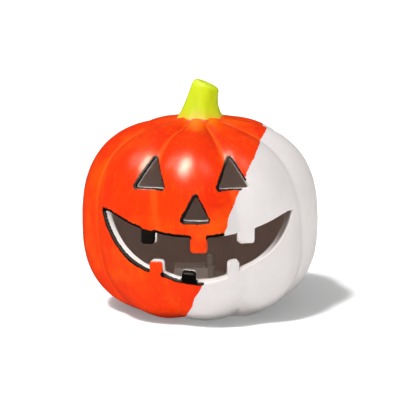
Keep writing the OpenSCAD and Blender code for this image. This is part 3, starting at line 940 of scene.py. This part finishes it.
def finish_light():
    """Materials of the plug-in light, whose CAD shapes are kept."""
    materials = {"lamp_epoxy": lamp_material()}
    for name, colour, second, rough, scale, bump, metallic in PLAIN_MATERIALS:
        materials[name] = plain_material(name, rgb(*colour), rgb(*second), rough, scale, bump, metallic)
    for node, material, bevel in LIGHT_PIECES:
        paint_node(node, materials[material], bevel)


# ---------------------------------------------------------------- floor, light and camera
FLOOR_HALF = 4.0
FLOOR_Z = -0.0002
# Linear greys, lit to a pale floor by strong lamps of its own: the orange then throws little colour on it
FLOOR_GREY = (0.22, 0.22, 0.22, 1)
FLOOR_GREY_LIGHT = (0.228, 0.228, 0.228, 1)


def build_stage():
    """Plain floor, just under the foot."""
    mesh = bpy.data.meshes.new("floor")
    corners = [(x * FLOOR_HALF, y * FLOOR_HALF, 0) for x, y in ((-1, -1), (1, -1), (1, 1), (-1, 1))]
    mesh.from_pydata(corners, [], [(0, 1, 2, 3)])
    floor = bpy.data.objects.new("floor", mesh)
    bpy.context.collection.objects.link(floor)
    floor.location.z = FLOOR_Z
    n = Nodes("floor_paper")
    colour = n.mix(n.noise(3, 2, 0.5), FLOOR_GREY, FLOOR_GREY_LIGHT)
    n.link(colour, n.shader.inputs["Base Color"])
    n.shader.inputs["Roughness"].default_value = 0.9
    n.shader.inputs["Specular IOR Level"].default_value = 0.1
    mesh.materials.append(n.material)
    floor.visible_glossy = False
    return floor


LAMP_AIM_Z = 0.06
SUN_DISTANCE = 1.6
# Suns on the object: name, azimuth, elevation, strength, spread in degrees
SUNS = [("side_lamp", -74, 56, 1.2, 20), ("front_lamp", -4, 52, 1.0, 45)]
# Suns on the floor alone: one draws the shadow, the other keeps the floor under the foot from going black
SHADOW_AZIMUTH, SHADOW_ELEVATION, SHADOW_STRENGTH, SHADOW_SPREAD = -40, 60, 16.2, 9
LIFT_AZIMUTH, LIFT_ELEVATION, LIFT_STRENGTH = 0, 88, 3.35
SOFTBOX_DISTANCE = 1.3
SOFTBOX_COLOUR = (1.0, 0.86, 0.68)
# Softboxes seen in the lobes' gloss: name, azimuth, elevation, width, depth, power
SOFTBOXES = [
    ("left", -88, 54, 0.16, 0.50, 5),
    ("top", -38, 62, 0.36, 0.70, 98),
    ("right", 42, 62, 0.18, 0.4, 5),
]
# Strength of the world for surfaces, in reflections and behind the object
WORLD_LAYERS = [(1.05, None), (0.05, "Is Glossy Ray"), (1.6, "Is Camera Ray")]
CAMERA_DISTANCE = 1.15
CAMERA_ELEVATION = 11
CAMERA_AIM_Z = 0.0639
CAMERA_SENSOR, CAMERA_LENS = 36, 174


def aim_back(azimuth, elevation):
    """Direction from the pumpkin towards a lamp or camera. Azimuth 0 is the front, above 0 the right."""
    a, e = math.radians(azimuth), math.radians(elevation)
    return Vector((math.sin(a) * math.cos(e), -math.cos(a) * math.cos(e), math.sin(e)))


def add_light(kind, name, azimuth, elevation, distance, strength):
    """A lamp aimed at the middle of the pumpkin."""
    data = bpy.data.lights.new(name, kind)
    data.energy = strength
    lamp = bpy.data.objects.new(name, data)
    bpy.context.collection.objects.link(lamp)
    back = aim_back(azimuth, elevation)
    lamp.location = Vector((0, 0, LAMP_AIM_Z)) + back * distance
    lamp.rotation_mode = "QUATERNION"
    lamp.rotation_quaternion = back.to_track_quat("Z", "Y")
    return lamp


def build_lights(floor):
    """Soft lamps from the left and the front, two lamps for the floor alone, and the softboxes."""
    for name, azimuth, elevation, strength, spread in SUNS:
        sun = add_light("SUN", name, azimuth, elevation, SUN_DISTANCE, strength)
        sun.data.angle = math.radians(spread)
        sun.visible_glossy = False
    only_floor = bpy.data.collections.new("floor_only")
    only_floor.objects.link(floor)
    shadow = add_light(
        "SUN", "shadow_lamp", SHADOW_AZIMUTH, SHADOW_ELEVATION, SUN_DISTANCE, SHADOW_STRENGTH)
    shadow.data.angle = math.radians(SHADOW_SPREAD)
    shadow.light_linking.receiver_collection = only_floor
    lift = add_light("SUN", "floor_lift", LIFT_AZIMUTH, LIFT_ELEVATION, SUN_DISTANCE, LIFT_STRENGTH)
    lift.data.use_shadow = False
    lift.light_linking.receiver_collection = only_floor
    for name, azimuth, elevation, width, depth, power in SOFTBOXES:
        box = add_light("AREA", f"{name}_softbox", azimuth, elevation, SOFTBOX_DISTANCE, power)
        box.data.shape = "ELLIPSE"
        box.data.size, box.data.size_y = width, depth
        box.data.color = SOFTBOX_COLOUR
        box.visible_diffuse = False


def build_world():
    """Even soft light, dim in reflections and white behind the object."""
    world = bpy.data.worlds.new("studio")
    world.use_nodes = True
    tree = world.node_tree
    tree.nodes.clear()
    out = tree.nodes.new("ShaderNodeOutputWorld")
    path = tree.nodes.new("ShaderNodeLightPath")
    last = None
    for strength, share in WORLD_LAYERS:
        layer = tree.nodes.new("ShaderNodeBackground")
        layer.inputs["Strength"].default_value = strength
        if last:
            mix = tree.nodes.new("ShaderNodeMixShader")
            tree.links.new(path.outputs[share], mix.inputs[0])
            tree.links.new(last, mix.inputs[1])
            tree.links.new(layer.outputs[0], mix.inputs[2])
            layer = mix
        last = layer.outputs[0]
    tree.links.new(last, out.inputs["Surface"])
    # Found by reflected rays alone, so that reflections see only the dim layer
    world.cycles.sampling_method = "NONE"
    bpy.context.scene.world = world


def build_camera():
    """A long lens in front, a little above the pumpkin."""
    data = bpy.data.cameras.new("camera")
    data.sensor_width = CAMERA_SENSOR
    data.lens = CAMERA_LENS
    camera = bpy.data.objects.new("camera", data)
    bpy.context.collection.objects.link(camera)
    back = aim_back(0, CAMERA_ELEVATION)
    camera.location = Vector((0, 0, CAMERA_AIM_Z)) + back * CAMERA_DISTANCE
    camera.rotation_mode = "QUATERNION"
    camera.rotation_quaternion = back.to_track_quat("Z", "Y")
    bpy.context.scene.camera = camera


# ---------------------------------------------------------------- everything together
shell = build_shell()
shell.data.materials.append(ceramic_material())
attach(shell, "pumpkin")
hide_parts("pumpkin_shell")

stem = build_stem()
stem.data.materials.append(stem_material())
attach(stem, "pumpkin")
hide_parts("stem")

finish_light()
build_world()
build_lights(build_stage())
build_camera()
bpy.context.scene.view_settings.view_transform = "Standard"
